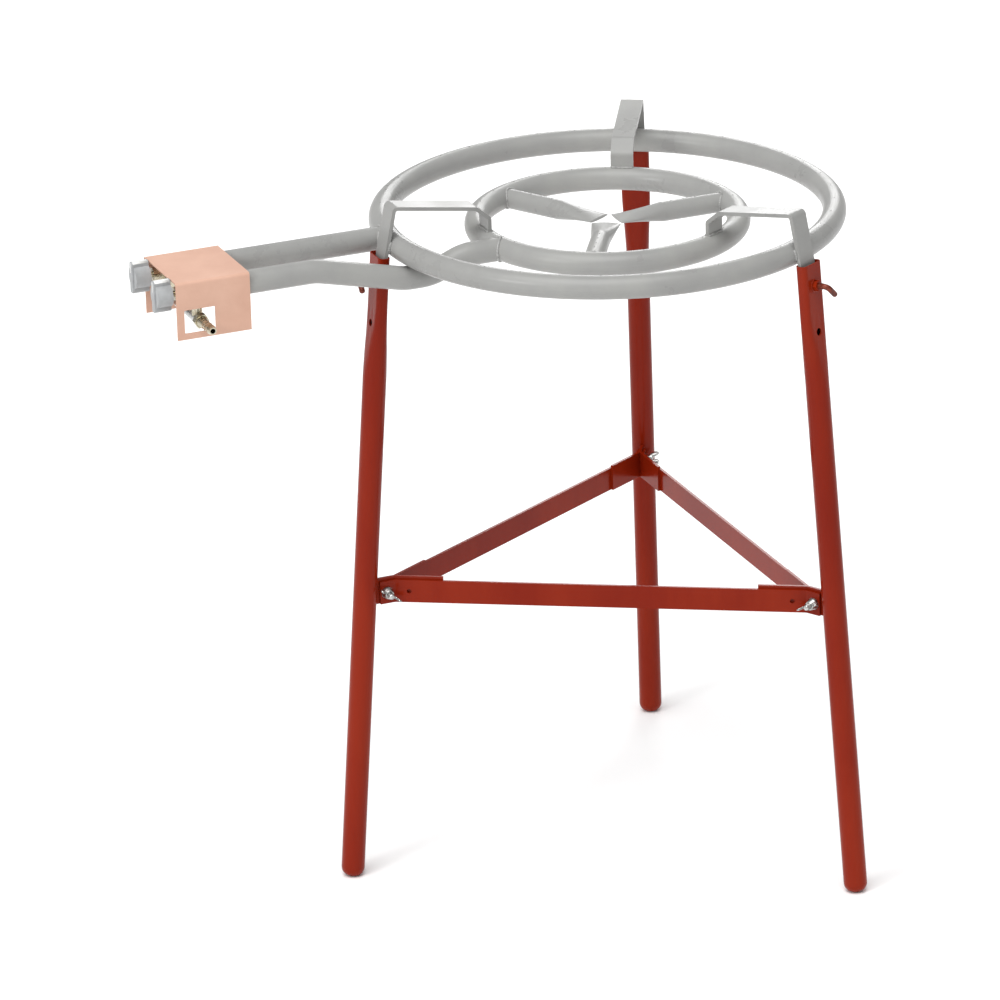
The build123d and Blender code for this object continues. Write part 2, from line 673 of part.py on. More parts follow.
def make_tap(place, y):
    """End cap, injector, tap body, stem and knob of one burner ring."""
    cap_x = PIPE_END_X - CAP_T
    barrel_x = cap_x - TAP_HEX_L
    bonnet_x = barrel_x - TAP_BARREL_L
    bonnet_end_x = bonnet_x - TAP_BONNET_L
    stem_x = KNOB_FACE_X + KNOB_SKIN
    stem_end_x = bonnet_end_x + STEM_INSIDE

    with BuildPart() as pipe_cap:
        with BuildSketch(tap_plane(y, cap_x)):
            Circle(TUBE_R)
            Circle(INJECTOR_R, mode=Mode.SUBTRACT)
        extrude(amount=CAP_T)
    finish(pipe_cap.part, f"pipe_cap_{place}")

    with BuildPart() as injector:
        with BuildSketch(tap_plane(y, cap_x - INJECTOR_SHANK_L)):
            Circle(INJECTOR_R)
        extrude(amount=INJECTOR_SHANK_L + CAP_T)
        with BuildSketch(tap_plane(y, PIPE_END_X)):
            Circle(INJECTOR_R)
        with BuildSketch(tap_plane(y, PIPE_END_X + INJECTOR_NOSE_L)):
            Circle(INJECTOR_R / 2)
        loft()
        with BuildSketch(tap_plane(y, cap_x - INJECTOR_SHANK_L)):
            Circle(INJECTOR_JET_R)
        extrude(amount=INJECTOR_SHANK_L + CAP_T + INJECTOR_NOSE_L, mode=Mode.SUBTRACT)
    finish(injector.part, f"injector_{place}")

    with BuildPart() as tap_body:
        with BuildSketch(tap_plane(y, barrel_x)):
            RegularPolygon(TAP_HEX_AF / 2, 6, major_radius=False)
        extrude(amount=TAP_HEX_L)
        with BuildSketch(tap_plane(y, bonnet_x)):
            Circle(TAP_BARREL_R)
        extrude(amount=TAP_BARREL_L)
        with BuildSketch(tap_plane(y, bonnet_end_x)):
            Circle(TAP_BONNET_R)
        extrude(amount=TAP_BONNET_L)
        with BuildSketch(Plane.XY.offset(RAIL_Z)):
            with Locations((RAIL_X, y)):
                Circle(BOSS_R)
        extrude(amount=TAP_Z - RAIL_Z)
        with BuildSketch(tap_plane(y, bonnet_end_x)):
            Circle(STEM_R + STEM_CLEARANCE)
        extrude(amount=STEM_INSIDE + STEM_END_GAP, mode=Mode.SUBTRACT)
        with BuildSketch(tap_plane(y, cap_x - INJECTOR_SHANK_L)):
            Circle(INJECTOR_R)
        extrude(amount=INJECTOR_SHANK_L, mode=Mode.SUBTRACT)
        add(rail_core, mode=Mode.SUBTRACT)
    finish(tap_body.part, f"tap_body_{place}")

    with BuildPart() as tap_stem:
        with BuildSketch(tap_plane(y, stem_x)):
            Circle(STEM_R)
        extrude(amount=stem_end_x - stem_x)
    finish(tap_stem.part, f"tap_stem_{place}")

    with BuildPart() as knob:
        with BuildSketch(tap_plane(y, KNOB_FACE_X + KNOB_GRIP_PROUD)):
            Circle(KNOB_R)
        extrude(amount=KNOB_BACK_X - KNOB_FACE_X - KNOB_GRIP_PROUD)
        with BuildSketch(tap_plane(y, KNOB_FACE_X)):
            RectangleRounded(KNOB_GRIP_W, KNOB_GRIP_H, KNOB_GRIP_CORNER)
        extrude(amount=KNOB_BACK_X - KNOB_FACE_X)
        front = knob.faces().sort_by(Axis.X)[0]
        fillet(front.edges(), radius=KNOB_EDGE_R)
        with BuildSketch(tap_plane(y, stem_x)):
            Circle(STEM_R)
        extrude(amount=KNOB_BACK_X - KNOB_FACE_X, mode=Mode.SUBTRACT)
    finish(knob.part, f"knob_{place}")


make_tap("outer", PIPE_Y)
make_tap("inner", -PIPE_Y)

# ---------------------------------------------------------------- gas rail

with BuildPart() as gas_rail:
    with BuildSketch(Plane.XZ.offset(-RAIL_REAR_Y)):
        with Locations((RAIL_X, RAIL_Z)):
            Circle(RAIL_R)
            Circle(RAIL_BORE_R, mode=Mode.SUBTRACT)
    extrude(amount=RAIL_REAR_Y - RAIL_FRONT_Y)
gas_rail.part.label = "gas_rail"
export_step(gas_rail.part, "parts/gas_rail.step")

with BuildPart() as rail_plug:
    with BuildSketch(Plane.XZ.offset(-RAIL_REAR_Y)):
        with Locations((RAIL_X, RAIL_Z)):
            RegularPolygon(RAIL_R, 6, major_radius=False)
    extrude(amount=-PLUG_T)
rail_plug.part.label = "rail_plug"
export_step(rail_plug.part, "parts/rail_plug.step")

with BuildPart() as hose_nozzle:
    with BuildSketch(Plane.XZ.offset(-RAIL_FRONT_Y)):
        with Locations((RAIL_X, RAIL_Z)):
            RegularPolygon(NOZZLE_HEX_AF / 2, 6, major_radius=False)
    extrude(amount=NOZZLE_HEX_L)
    spigot_l = NOZZLE_COLLAR_L + NOZZLE_BARBS * NOZZLE_BARB_L
    nozzle_plane = Plane(
        origin=(RAIL_X, RAIL_FRONT_Y - NOZZLE_HEX_L, RAIL_Z), x_dir=(0, -1, 0), z_dir=(0, 0, 1)
    )
    with BuildSketch(nozzle_plane):
        with BuildLine():
            Polyline(
                (NOZZLE_COLLAR_L, NOZZLE_ROOT_R),
                (0, NOZZLE_COLLAR_R),
                (0, 0),
                (spigot_l, 0),
                (spigot_l, NOZZLE_ROOT_R),
            )
            for barb in range(NOZZLE_BARBS):
                start = NOZZLE_COLLAR_L + barb * NOZZLE_BARB_L
                Polyline(
                    (start, NOZZLE_ROOT_R),
                    (start + NOZZLE_BARB_RISE, NOZZLE_BARB_R),
                    (start + NOZZLE_BARB_RISE + NOZZLE_BARB_LAND, NOZZLE_BARB_R),
                    (start + NOZZLE_BARB_L, NOZZLE_ROOT_R),
                )
        make_face()
    revolve(axis=Axis(nozzle_plane.origin, nozzle_plane.x_dir))
    with BuildSketch(Plane.XZ.offset(-RAIL_FRONT_Y)):
        with Locations((RAIL_X, RAIL_Z)):
            Circle(NOZZLE_BORE_R)
    extrude(amount=NOZZLE_HEX_L + spigot_l, mode=Mode.SUBTRACT)
hose_nozzle.part.label = "hose_nozzle"
export_step(hose_nozzle.part, "parts/hose_nozzle.step")
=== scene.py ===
"""Looks of a two-ring gas burner on a three-leg stand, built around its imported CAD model.

Metres, in the CAD model's frame: +Z up, the origin on the floor under the burner axis.
"""

import json
from math import cos, pi, radians, sin, sqrt

import bpy
from mathutils import Matrix, Vector


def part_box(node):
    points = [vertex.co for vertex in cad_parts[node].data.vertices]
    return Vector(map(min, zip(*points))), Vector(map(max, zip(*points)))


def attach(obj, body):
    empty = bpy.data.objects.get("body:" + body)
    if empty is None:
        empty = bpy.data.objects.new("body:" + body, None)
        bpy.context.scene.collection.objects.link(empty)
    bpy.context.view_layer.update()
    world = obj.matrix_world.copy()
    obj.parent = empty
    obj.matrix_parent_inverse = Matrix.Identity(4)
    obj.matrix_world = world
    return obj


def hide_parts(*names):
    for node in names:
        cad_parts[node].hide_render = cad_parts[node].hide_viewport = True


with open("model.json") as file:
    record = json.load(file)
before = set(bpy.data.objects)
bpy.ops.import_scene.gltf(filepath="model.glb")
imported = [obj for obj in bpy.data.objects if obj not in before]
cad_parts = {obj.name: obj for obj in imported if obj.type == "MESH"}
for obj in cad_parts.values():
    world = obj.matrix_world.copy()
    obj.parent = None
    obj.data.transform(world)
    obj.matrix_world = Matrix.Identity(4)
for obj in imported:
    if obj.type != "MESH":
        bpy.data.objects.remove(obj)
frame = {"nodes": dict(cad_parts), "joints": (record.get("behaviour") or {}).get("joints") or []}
nodes = frame["nodes"]
joints = {j["name"]: j for j in frame["joints"]}
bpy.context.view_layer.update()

MM = 0.001
FIXED = "frame"
SIDES = {"near": 180.0, "left": 60.0, "right": 300.0}
FINGERS = (0.0, 120.0, 240.0)

# ---------------------------------------------------------------- materials


def tint(red, green, blue):
    """Linear colour of an sRGB colour given in 0 to 255."""
    parts = []
    for value in (red, green, blue):
        level = value / 255
        parts.append(level / 12.92 if level <= 0.04045 else ((level + 0.055) / 1.055) ** 2.4)
    return (*parts, 1.0)


def surface(name, colours, scale, rough, metallic=0.0, shine=0.5, grain=None, stretch=(1, 1, 1)):
    """A shader whose colour, roughness and relief all vary.

    colours: stops of the colour ramp, darkest first.  scale: size of the colour patches, per
    metre.  rough: lowest and highest roughness.  shine: specular level.  grain: (scale per
    metre, strength, distance) of the fine relief.
    """
    material = bpy.data.materials.new(name)
    material.use_nodes = True
    tree = material.node_tree
    shader = tree.nodes["Principled BSDF"]
    shader.inputs["Metallic"].default_value = metallic
    shader.inputs["Specular IOR Level"].default_value = shine

    place = tree.nodes.new("ShaderNodeTexCoord")
    mapping = tree.nodes.new("ShaderNodeMapping")
    mapping.inputs["Scale"].default_value = stretch
    tree.links.new(place.outputs["Object"], mapping.inputs["Vector"])

    patches = tree.nodes.new("ShaderNodeTexNoise")
    patches.inputs["Scale"].default_value = scale
    patches.inputs["Detail"].default_value = PATCH_DETAIL
    patches.inputs["Roughness"].default_value = PATCH_ROUGHNESS
    tree.links.new(mapping.outputs["Vector"], patches.inputs["Vector"])

    ramp = tree.nodes.new("ShaderNodeValToRGB")
    first, last = RAMP_SPAN
    ramp.color_ramp.elements[0].position = first
    ramp.color_ramp.elements[1].position = last
    ramp.color_ramp.elements[0].color = colours[0]
    ramp.color_ramp.elements[1].color = colours[-1]
    for index in range(1, len(colours) - 1):
        stop = ramp.color_ramp.elements.new(first + (last - first) * index / (len(colours) - 1))
        stop.color = colours[index]
    tree.links.new(patches.outputs["Fac"], ramp.inputs["Fac"])
    tree.links.new(ramp.outputs["Color"], shader.inputs["Base Color"])

    gloss = tree.nodes.new("ShaderNodeMapRange")
    gloss.inputs["From Min"].default_value = first
    gloss.inputs["From Max"].default_value = last
    gloss.inputs["To Min"].default_value = rough[0]
    gloss.inputs["To Max"].default_value = rough[1]
    tree.links.new(patches.outputs["Fac"], gloss.inputs["Value"])
    tree.links.new(gloss.outputs["Result"], shader.inputs["Roughness"])

    if grain:
        relief = tree.nodes.new("ShaderNodeTexNoise")
        relief.inputs["Scale"].default_value = grain[0]
        relief.inputs["Detail"].default_value = GRAIN_DETAIL
        tree.links.new(mapping.outputs["Vector"], relief.inputs["Vector"])
        bump = tree.nodes.new("ShaderNodeBump")
        bump.inputs["Strength"].default_value = grain[1]
        bump.inputs["Distance"].default_value = grain[2]
        tree.links.new(relief.outputs["Fac"], bump.inputs["Height"])
        tree.links.new(bump.outputs["Normal"], shader.inputs["Normal"])
    return material


PATCH_DETAIL = 6.0
PATCH_ROUGHNESS = 0.6
GRAIN_DETAIL = 2.0
RAMP_SPAN = (0.36, 0.64)

stand_paint = surface(
    "stand_paint",
    (tint(122, 26, 7), tint(129, 31, 9), tint(137, 37, 13)),
    scale=9.0,
    rough=(0.15, 0.23),
    shine=0.12,
    grain=(420.0, 0.10, 0.0006),
    stretch=(1, 1, 0.3),
)
burner_paint = surface(
    "burner_paint",
    (tint(147, 147, 145), tint(152, 152, 150), tint(157, 157, 154)),
    scale=14.0,
    rough=(0.26, 0.38),
    shine=0.3,
    grain=(500.0, 0.12, 0.0005),
)
burner_weld = surface(
    "burner_weld",
    (tint(136, 136, 134), tint(152, 152, 150), tint(172, 172, 170)),
    scale=300.0,
    rough=(0.3, 0.46),
    shine=0.5,
    grain=(1800.0, 0.3, 0.0002),
)
cover_paint = surface(
    "cover_paint",
    (tint(206, 163, 142), tint(211, 169, 148), tint(216, 175, 154)),
    scale=16.0,
    rough=(0.42, 0.54),
    shine=0.25,
    grain=(650.0, 0.10, 0.0004),
)
knob_plastic = surface(
    "knob_plastic",
    (tint(152, 154, 155), tint(162, 164, 165), tint(170, 172, 173)),
    scale=60.0,
    rough=(0.4, 0.55),
    shine=0.4,
    grain=(1500.0, 0.25, 0.0002),
)
# White of the knob lines, and of the caps that are a painted highlight on each grip's top end.
pointer_and_highlight_white = surface(
    "pointer_and_highlight_white",
    (tint(224, 224, 220), tint(236, 236, 234)),
    scale=80.0,
    rough=(0.35, 0.5),
    grain=(1500.0, 0.15, 0.0002),
)
zinc = surface(
    "zinc",
    (tint(150, 150, 148), tint(184, 184, 182), tint(212, 212, 210)),
    scale=220.0,
    rough=(0.18, 0.34),
    metallic=1.0,
    grain=(1400.0, 0.2, 0.0002),
)
brass = surface(
    "brass",
    (tint(168, 160, 138), tint(190, 182, 160), tint(208, 202, 184)),
    scale=160.0,
    rough=(0.18, 0.34),
    metallic=1.0,
    grain=(1600.0, 0.2, 0.0002),
)
screw_paint = surface(
    "screw_paint",
    (tint(82, 28, 16), tint(108, 40, 22), tint(130, 58, 36)),
    scale=180.0,
    rough=(0.3, 0.46),
    metallic=0.3,
    grain=(1200.0, 0.2, 0.0003),
)

LOOKS = (
    (("leg_", "brace_near", "brace_left_right", "clamp_nut"), stand_paint),
    (("clamp_screw",), screw_paint),
    (("brace_bolt", "brace_washer", "wing_nut", "gas_rail"), zinc),
    (("manifold_cover", "cover_end"), cover_paint),
    (("knob",), knob_plastic),
    (("injector", "tap_", "rail_plug", "hose_nozzle"), brass),
    (("brace_washer",), zinc),
)


def look_of(name):
    """Material of a CAD node, from its name."""
    for starts, material in LOOKS:
        if name.startswith(starts):
            return material
    return burner_paint


for name, node in nodes.items():
    node.data.materials.clear()
    node.data.materials.append(look_of(name))

# ---------------------------------------------------------------- mesh helpers


def add_piece(name, points, faces, material, body):
    """A smooth-shaded mesh that moves with a CAD body."""
    mesh = bpy.data.meshes.new(name)
    mesh.from_pydata([tuple(p) for p in points], [], faces)
    mesh.materials.append(material)
    mesh.shade_smooth()
    piece = bpy.data.objects.new(name, mesh)
    bpy.context.scene.collection.objects.link(piece)
    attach(piece, body)
    return piece


def spaced(path, step, closed):
    """Points every step along a polyline, and the distance of each from the start."""
    ends = list(path) + ([path[0]] if closed else [])
    lengths = [(b - a).length for a, b in zip(ends, ends[1:])]
    total = sum(lengths)
    count = max(4, round(total / step))
    found = []
    span, covered = 0, 0.0
    for index in range(count if closed else count + 1):
        wanted = total * index / count
        while span < len(lengths) - 1 and covered + lengths[span] < wanted:
            covered += lengths[span]
            span += 1
        part = (wanted - covered) / lengths[span] if lengths[span] else 0.0
        found.append((ends[span].lerp(ends[span + 1], min(part, 1.0)), wanted))
    return found, total


def tube_round(path, radii, sides, closed):
    """Points and faces of a tube through a path, with one radius for each point of it."""
    count = len(path)
    points = []
    side = None
    for index, centre in enumerate(path):
        before = path[index - 1] if index or closed else centre
        after = path[(index + 1) % count] if index < count - 1 or closed else centre
        along = (after - before).normalized()
        side = along.orthogonal() if side is None else side - along * side.dot(along)
        side.normalize()
        other = along.cross(side)
        for corner in range(sides):
            angle = 2 * pi * corner / sides
            points.append(centre + (side * cos(angle) + other * sin(angle)) * radii[index])
    faces = []
    for index in range(count if closed else count - 1):
        shift = 0
        if index == count - 1:
            gaps = [(points[-sides] - points[k]).length for k in range(sides)]
            shift = gaps.index(min(gaps))
        this, following = index * sides, ((index + 1) % count) * sides
        for corner in range(sides):
            turned = (corner + 1) % sides
            faces.append(
                (
                    this + corner,
                    this + turned,
                    following + (turned + shift) % sides,
                    following + (corner + shift) % sides,
                )
            )
    if not closed:
        faces.append(tuple(reversed(range(sides))))
        faces.append(tuple(range((count - 1) * sides, count * sides)))
    return points, faces


BEAD_STEP = 0.45 * MM
BEAD_PITCH = 2.1 * MM
BEAD_SIDES = 10
BEAD_RIPPLE = 0.22
BEAD_END = 1.6 * MM
BEAD_TIP = 0.35                    # share of the bead's size left at an open end


def weld(name, path, radius, material, closed=False):
    """A weld bead along a path: overlapping drops, tapering at open ends."""
    found, total = spaced(path, BEAD_STEP, closed)
    pitch = total / max(1, round(total / BEAD_PITCH))
    radii = []
    for _, travelled in found:
        drop = abs(sin(pi * travelled / pitch))
        size = radius * (1 - BEAD_RIPPLE + BEAD_RIPPLE * drop)
        if not closed:
            to_end = min(travelled, total - travelled)
            size *= BEAD_TIP + (1 - BEAD_TIP) * min(1.0, to_end / BEAD_END)
        radii.append(size)
    points, faces = tube_round([p for p, _ in found], radii, BEAD_SIDES, closed)
    return add_piece(name, points, faces, material, FIXED)


def outwards(azimuth):
    """Unit vector away from the burner axis."""
    return Vector((cos(radians(azimuth)), sin(radians(azimuth)), 0.0))


def turns(count):
    """Angles of a full turn."""
    return [2 * pi * index / count for index in range(count)]


# ---------------------------------------------------------------- sizes read from the frame

outer_low, outer_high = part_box("outer_burner_ring")
inner_low, inner_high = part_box("inner_burner_ring")
TUBE = (outer_high.z - outer_low.z) / 2
OUTER_R, OUTER_Z = outer_high.x - TUBE, (outer_high.z + outer_low.z) / 2
INNER_R, INNER_Z = inner_high.x - TUBE, (inner_high.z + inner_low.z) / 2
STRAP_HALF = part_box("pan_support_near")[1].y
STRAP_T = 4.0 * MM
STRAP_SLOPE = radians(12.0)
finger_low, finger_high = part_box("burner_finger_far")
FINGER = (finger_high.z - finger_low.z) / 2
pipe_low, pipe_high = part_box("outer_feed_pipe")
PIPE_Y, PIPE_Z, PIPE_END = (pipe_low.y + pipe_high.y) / 2, (pipe_low.z + pipe_high.z) / 2, pipe_low.x
ROUND = 72

# ---------------------------------------------------------------- welds of the burner

SUPPORT_BEAD = 1.5 * MM
PIPE_BEAD = 1.7 * MM
BEAD_PROUD = 0.4 * MM
FOOT_STEPS = 12
HUG_STEPS = 10
HUG_STEP = radians(2.8)            # a support's bead hugs the ring over 28 degrees each way

for side, azimuth in SIDES.items():
    out = outwards(azimuth)
    around = outwards(azimuth + 90)
    for place, sign in (("in", -1), ("out", 1)):
        radius = INNER_R + sign * (STRAP_T / 2 + BEAD_PROUD)
        path = []
        for step in range(-FOOT_STEPS, FOOT_STEPS + 1):
            across = STRAP_HALF * step / FOOT_STEPS
            reach = sqrt(radius**2 + across**2) - INNER_R
            height = INNER_Z + sqrt(TUBE**2 - reach**2) + BEAD_PROUD
            path.append(out * radius + around * across + Vector((0, 0, height)))
        weld(f"weld_foot_{place}_{side}", path, SUPPORT_BEAD, burner_weld)
    for place, sign in (("a", -1), ("b", 1)):
        across = sign * (STRAP_HALF + BEAD_PROUD)
        middle = sqrt(OUTER_R**2 - across**2)
        path = []
        for step in range(-HUG_STEPS, HUG_STEPS + 1):
            angle = STRAP_SLOPE + HUG_STEP * step
            radius = middle + (TUBE + BEAD_PROUD) * cos(angle)
            height = OUTER_Z + (TUBE + BEAD_PROUD) * sin(angle)
            path.append(out * radius + around * across + Vector((0, 0, height)))
        weld(f"weld_ring_{place}_{side}", path, SUPPORT_BEAD, burner_weld)

for index, azimuth in enumerate(FINGERS):
    out = outwards(azimuth)
    around = outwards(azimuth + 90)
    path = []
    for angle in turns(ROUND):
        across, height = FINGER * cos(angle), FINGER * sin(angle)
        reach = INNER_R - sqrt(TUBE**2 - height**2)
        radius = sqrt(reach**2 - across**2) - BEAD_PROUD
        path.append(out * radius + around * across + Vector((0, 0, INNER_Z + height)))
    weld(f"weld_finger_{index}", path, SUPPORT_BEAD, burner_weld, closed=True)


def pipe_joint(name, y, z, ring_r, ring_z, nearest):
    """Bead where a level pipe along X meets a ring from outside."""
    path = []
    for angle in turns(ROUND):
        across, height = y + TUBE * cos(angle), z + TUBE * sin(angle)
        rise = min(TUBE, abs(height - ring_z))
        reach = ring_r + sqrt(TUBE**2 - rise**2)
        along = max(sqrt(reach**2 - across**2), nearest) + BEAD_PROUD
        path.append(Vector((-along, across, height)))
    weld(name, path, PIPE_BEAD, burner_weld, closed=True)


pipe_joint("weld_outer_pipe", PIPE_Y, PIPE_Z, OUTER_R, OUTER_Z, -pipe_high.x)
pipe_joint("weld_inner_pipe", -PIPE_Y, INNER_Z, INNER_R, INNER_Z, 0.0)

CAP_BEAD = 0.9 * MM
for place, y in (("outer", PIPE_Y), ("inner", -PIPE_Y)):
    path = []
    for angle in turns(ROUND):
        path.append(Vector((PIPE_END, y + TUBE * cos(angle), PIPE_Z + TUBE * sin(angle))))
    weld(f"weld_cap_{place}", path, CAP_BEAD, burner_weld, closed=True)

# ---------------------------------------------------------------- welds of the stand

TAB_T = 3.0 * MM
TAB_BEAD = 1.6 * MM
TAB_STEPS = 12
TAB_MARGIN = 0.04                  # share of the tab's height left bare at each end
NUT_RING = 6.1 * MM
NUT_BEAD = 1.1 * MM
SOCKET_HALF = 6.5 * MM
NUT_LENGTH = 5.0 * MM
LEVER_BEND_AT = 17.3 * MM
THREAD_GAP = 0.3 * MM

for side, azimuth in SIDES.items():
    out = outwards(azimuth)
    around = outwards(azimuth + 90)
    clamp = joints[f"clamp_screw_turn_{side}"]
    screw_at = Vector(clamp["pos_m"])
    screw_axis = Vector(clamp["axis"]).normalized()
    lean = screw_axis.z / sqrt(1 - screw_axis.z**2)
    low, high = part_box(f"leg_bracket_{side}")
    for place, sign in (("a", -1), ("b", 1)):
        across = sign * (TAB_T / 2 + BEAD_PROUD)
        path = []
        for step in range(TAB_STEPS + 1):
            share = TAB_MARGIN + (1 - 2 * TAB_MARGIN) * step / TAB_STEPS
            height = low.z + (high.z - low.z) * share
            axis_r = screw_at.xy.length + (screw_at.z - height) * lean
            radius = axis_r - sqrt(TUBE**2 - across**2) - BEAD_PROUD
            path.append(out * radius + around * across + Vector((0, 0, height)))
        weld(f"weld_tab_{place}_{side}", path, TAB_BEAD, stand_paint)
    upright = around.cross(screw_axis)
    path = []
    for angle in turns(ROUND // 2):
        ring = around * cos(angle) + upright * sin(angle)
        path.append(screw_at + screw_axis * SOCKET_HALF + ring * NUT_RING)
    weld(f"weld_nut_{side}", path, NUT_BEAD, stand_paint, closed=True)

# ---------------------------------------------------------------- screw threads

THREAD_PITCH = 1.0 * MM
THREAD_RISE = 0.3 * MM
THREAD_BASE = 0.42 * MM
SCREW_R = 3.0 * MM
THREAD_STEPS = 28
THREAD_ROOT = THREAD_RISE / 3      # depth of the ridge's foot inside the screw
THREAD_FADE = 0.05


def thread(name, start, axis, length, material, body):
    """Helical ridge round a plain screw, running out at both ends."""
    side = axis.orthogonal().normalized()
    other = axis.cross(side)
    count = round(length / THREAD_PITCH * THREAD_STEPS)
    points = []
    for index in range(count + 1):
        angle = 2 * pi * index / THREAD_STEPS
        fade = min(1.0, index / THREAD_STEPS * 2, (count - index) / THREAD_STEPS * 2)
        ray = side * cos(angle) + other * sin(angle)
        centre = start + axis * (THREAD_PITCH * index / THREAD_STEPS)
        sunk = SCREW_R - THREAD_ROOT
        points.append(centre + ray * sunk - axis * THREAD_BASE)
        points.append(centre + ray * (sunk + (THREAD_RISE + THREAD_ROOT) * max(fade, THREAD_FADE)))
        points.append(centre + ray * sunk + axis * THREAD_BASE)
    faces = []
    for index in range(count):
        here, ahead = 3 * index, 3 * index + 3
        for a, b in ((0, 1), (1, 2), (2, 0)):
            faces.append((here + a, here + b, ahead + b, ahead + a))
    faces.append((2, 1, 0))
    faces.append((3 * count, 3 * count + 1, 3 * count + 2))
    return add_piece(name, points, faces, material, body)


STACK_HALF = 4.5 * MM
WASHER_AND_GAP = 1.5 * MM
NUT_HUB = 7.0 * MM
BOLT_TIP = 19.5 * MM
TIP_CHAMFER = 0.9 * MM

for side in SIDES:
    clamp = joints[f"clamp_screw_turn_{side}"]
    axis = Vector(clamp["axis"]).normalized()
    first = SOCKET_HALF + NUT_LENGTH + THREAD_GAP + THREAD_BASE
    start = Vector(clamp["pos_m"]) + axis * first
    length = LEVER_BEND_AT - first - THREAD_BASE
    thread(f"thread_clamp_{side}", start, axis, length, screw_paint, f"clamp_{side}")
    wing = joints[f"wing_nut_turn_{side}"]
    axis = Vector(wing["axis"]).normalized()
    first = STACK_HALF + WASHER_AND_GAP + NUT_HUB + THREAD_GAP + THREAD_BASE
    start = Vector(wing["pos_m"]) + axis * first
    length = BOLT_TIP - TIP_CHAMFER - first - THREAD_BASE
    thread(f"thread_bolt_{side}", start, axis, length, zinc, FIXED)

# ---------------------------------------------------------------- wing nuts

WING_TILT = {"near": 145.0, "left": 215.0, "right": 205.0}
# radius and height of the hub, then reach and height of an ear, in millimetres
HUB_PROFILE = (
    (3.1, 0.0),
    (6.0, 0.0),
    (6.4, 0.4),
    (6.4, 1.5),
    (5.6, 2.2),
    (4.9, 6.4),
    (4.3, 7.0),
    (3.1, 7.0),
)
EAR_OUTLINE = (
    (4.3, 0.9),
    (6.4, 1.2),
    (9.6, 2.8),
    (12.4, 5.6),
    (13.9, 9.0),
    (13.8, 11.6),
    (12.4, 13.0),
    (10.4, 12.6),
    (9.0, 10.6),
    (7.8, 8.4),
    (6.0, 6.9),
    (4.3, 6.4),
)
EAR_THICKNESS = (2.6, 1.7)         # at the root and at the tip
EAR_ROOT = 4.3
EAR_LENGTH = 9.6
EAR_RINGS = ((1.0, 0.0), (1.0, 0.72), (0.9, 1.0))  # size of the outline, share of half thickness
HUB_SEGMENTS = 48


def smooth_outline(corners, rounds):
    """Closed outline with its corners cut, several times over."""
    outline = [Vector(c) for c in corners]
    for _ in range(rounds):
        cut = []
        for index, corner in enumerate(outline):
            after = outline[(index + 1) % len(outline)]
            cut.append(corner.lerp(after, 0.25))
            cut.append(corner.lerp(after, 0.75))
        outline = cut
    return outline


def wing_nut(side):
    """Cast wing nut: a turned hub with two rounded ears."""
    joint = joints[f"wing_nut_turn_{side}"]
    axis = Vector(joint["axis"]).normalized()
    out = outwards(SIDES[side])
    tilt = radians(WING_TILT[side])
    line = out * cos(tilt) + axis.cross(out) * sin(tilt)
    flat = axis.cross(line)
    seat = Vector(joint["pos_m"]) + axis * (STACK_HALF + WASHER_AND_GAP)
    points, faces = [], []
    for angle in turns(HUB_SEGMENTS):
        for radius, height in HUB_PROFILE:
            ray = line * cos(angle) + flat * sin(angle)
            points.append(seat + ray * (radius * MM) + axis * (height * MM))
    rows = len(HUB_PROFILE)
    for segment in range(HUB_SEGMENTS):
        here, ahead = segment * rows, (segment + 1) % HUB_SEGMENTS * rows
        for row in range(rows):
            above = (row + 1) % rows
            faces.append((here + row, ahead + row, ahead + above, here + above))
    outline = smooth_outline(EAR_OUTLINE, 2)
    middle = sum(outline, Vector((0.0, 0.0))) / len(outline)
    for hand in (1, -1):
        base = len(points)
        layers = [(inset, -level) for inset, level in reversed(EAR_RINGS)]
        layers += EAR_RINGS[1:]
        for inset, level in layers:
            for corner in outline:
                spot = middle.lerp(corner, inset)
                share = min(1.0, max(0.0, (spot.x - EAR_ROOT) / EAR_LENGTH))
                thick = EAR_THICKNESS[0] + (EAR_THICKNESS[1] - EAR_THICKNESS[0]) * share
                place = line * (hand * spot.x * MM) + axis * (spot.y * MM)
                points.append(seat + place + flat * (level * thick / 2 * MM * hand))
        size = len(outline)
        for layer in range(len(layers) - 1):
            for corner in range(size):
                turned = (corner + 1) % size
                lower, upper = base + layer * size, base + (layer + 1) * size
                faces.append((lower + turned, lower + corner, upper + corner, upper + turned))
        faces.append(tuple(base + corner for corner in range(size)))
        faces.append(tuple(base + (len(layers) - 1) * size + c for c in reversed(range(size))))
    nut = add_piece(f"cast_wing_nut_{side}", points, faces, zinc, f"wing_{side}")
    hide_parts(f"wing_nut_{side}")


for side in SIDES:
    wing_nut(side)

# ---------------------------------------------------------------- knob caps of painted highlight, and knob lines

GRIP_CORNER = 3.0 * MM
GRIP_HALF = 3.75 * MM
HIGHLIGHT_CAP_T = 0.12 * MM
MARK_SUNK = 0.1 * MM
MARK_FACE = 0.04 * MM
MARK_MARGIN = 1.4 * MM
MARK_LINE_HALF = 0.9 * MM
MARK_LINE_LOW = 5.0 * MM
CAP_EDGE = 12.0                    # degrees, where the cap's rounded side begins
CAP_STEPS = 8


